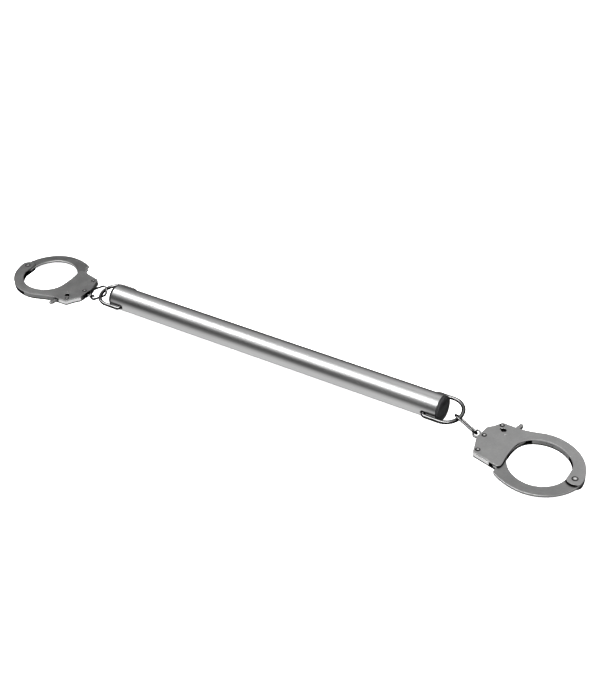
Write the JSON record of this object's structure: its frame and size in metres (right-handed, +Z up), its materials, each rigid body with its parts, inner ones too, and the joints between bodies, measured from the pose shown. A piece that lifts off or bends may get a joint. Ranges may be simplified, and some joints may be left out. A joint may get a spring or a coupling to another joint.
{
  "type": "bar handcuffs",
  "caption": "Rigid tubular bar with a ratchet wrist cuff hung at each end by a D-ring, an oval chain link and a swivel lug.",
  "frame": {"origin": "centre of the bar tube's axis", "axes": "+X along the bar towards the right cuff, +Z up from the surface that the bar and both cuffs lie on"},
  "size_m": [0.664, 0.1032, 0.025],
  "materials": {
    "bar_aluminium": "satin drawn and anodised tube",
    "plug_plastic": "moulded black plug, matte",
    "ring_chrome": "dark bright nickel plate",
    "cuff_nickel": "satin nickel plated stamped steel",
    "rivet_steel": "plated, peened and slightly worn",
    "lock_steel": "plated blanked steel",
    "spring_steel": "blued spring leaf"
  },
  "bodies": {
    "bar": {"bar_tube": "bar_aluminium", "right_end_plug": "plug_plastic", "left_end_plug": "plug_plastic"},
    "right_ring": {"right_d_ring": "ring_chrome"},
    "right_link": {"right_chain_link": "ring_chrome"},
    "right_lug": {"right_swivel_lug": "ring_chrome"},
    "right_cuff": {"right_cheek_upper": "cuff_nickel", "right_cheek_lower": "cuff_nickel", "right_lock_spacer": "lock_steel", "right_stop_spacer": "lock_steel", "right_case_rivets": "rivet_steel", "right_pivot_rivet": "rivet_steel", "right_key_post": "rivet_steel", "right_stop_pin": "rivet_steel", "right_pawl_spring": "spring_steel"},
    "right_bow": {"right_swing_bow": "cuff_nickel"},
    "right_pawl": {"right_pawl_lever": "lock_steel"},
    "left_ring": {"left_d_ring": "ring_chrome"},
    "left_link": {"left_chain_link": "ring_chrome"},
    "left_lug": {"left_swivel_lug": "ring_chrome"},
    "left_cuff": {"left_cheek_upper": "cuff_nickel", "left_cheek_lower": "cuff_nickel", "left_lock_spacer": "lock_steel", "left_stop_spacer": "lock_steel", "left_case_rivets": "rivet_steel", "left_pivot_rivet": "rivet_steel", "left_key_post": "rivet_steel", "left_stop_pin": "rivet_steel", "left_pawl_spring": "spring_steel"},
    "left_bow": {"left_swing_bow": "cuff_nickel"},
    "left_pawl": {"left_pawl_lever": "lock_steel"}
  },
  "joints": [
    {"name": "right_ring_hinge", "type": "hinge", "parent": "bar", "child": "right_ring", "pos_m": [0.176, 0, 0], "axis": [0, -0.9863, -0.165], "range_deg": [-110, 110]},
    {"name": "right_link_hinge", "type": "hinge", "parent": "right_ring", "child": "right_link", "pos_m": [0.20802, -0.00411, -0.00069], "axis": [-0.2756, -0.9481, -0.1587], "range_deg": [-35, 35]},
    {"name": "right_lug_hinge", "type": "hinge", "parent": "right_link", "child": "right_lug", "pos_m": [0.22649, -0.00613, -0.0094], "axis": [0.1876, -0.7912, 0.582], "range_deg": [-15, 15]},
    {"name": "right_cuff_swivel", "type": "hinge", "parent": "right_lug", "child": "right_cuff", "pos_m": [0.23457, -0.00819, -0.0094], "axis": [0, 0, 1], "range_deg": [-15, 15]},
    {"name": "right_bow_hinge", "type": "hinge", "parent": "right_cuff", "child": "right_bow", "pos_m": [0.3244, -0.0221, -0.0094], "axis": [0, 0, 1], "range_deg": [-6, 225]},
    {"name": "right_pawl_release", "type": "hinge", "parent": "right_cuff", "child": "right_pawl", "pos_m": [0.24259, 0.01161, -0.0094], "axis": [0, 0, -1], "range_deg": [0, 5], "stiffness_Nm_per_rad": 0.08, "springref_deg": -6.88, "deforming": ["right_pawl_spring"]},
    {"name": "left_ring_hinge", "type": "hinge", "parent": "bar", "child": "left_ring", "pos_m": [-0.176, 0, 0], "axis": [0, 0.9863, 0.165], "range_deg": [-110, 110]},
    {"name": "left_link_hinge", "type": "hinge", "parent": "left_ring", "child": "left_link", "pos_m": [-0.20858, 0.00078, 0.00013], "axis": [0.0523, 0.9849, 0.1648], "range_deg": [-35, 35]},
    {"name": "left_lug_hinge", "type": "hinge", "parent": "left_link", "child": "left_lug", "pos_m": [-0.22611, -0.0022, -0.0094], "axis": [-0.4645, 0.573, 0.6752], "range_deg": [-15, 15]},
    {"name": "left_cuff_swivel", "type": "hinge", "parent": "left_lug", "child": "left_cuff", "pos_m": [-0.23445, -0.00203, -0.0094], "axis": [0, 0, 1], "range_deg": [-5, 25]},
    {"name": "left_bow_hinge", "type": "hinge", "parent": "left_cuff", "child": "left_bow", "pos_m": [-0.3249, 0.007, -0.0094], "axis": [0, 0, 1], "range_deg": [-13, 218]},
    {"name": "left_pawl_release", "type": "hinge", "parent": "left_cuff", "child": "left_pawl", "pos_m": [-0.24139, -0.02224, -0.0094], "axis": [0, 0, -1], "range_deg": [0, 5], "stiffness_Nm_per_rad": 0.08, "springref_deg": -6.88, "deforming": ["left_pawl_spring"]}
  ]
}
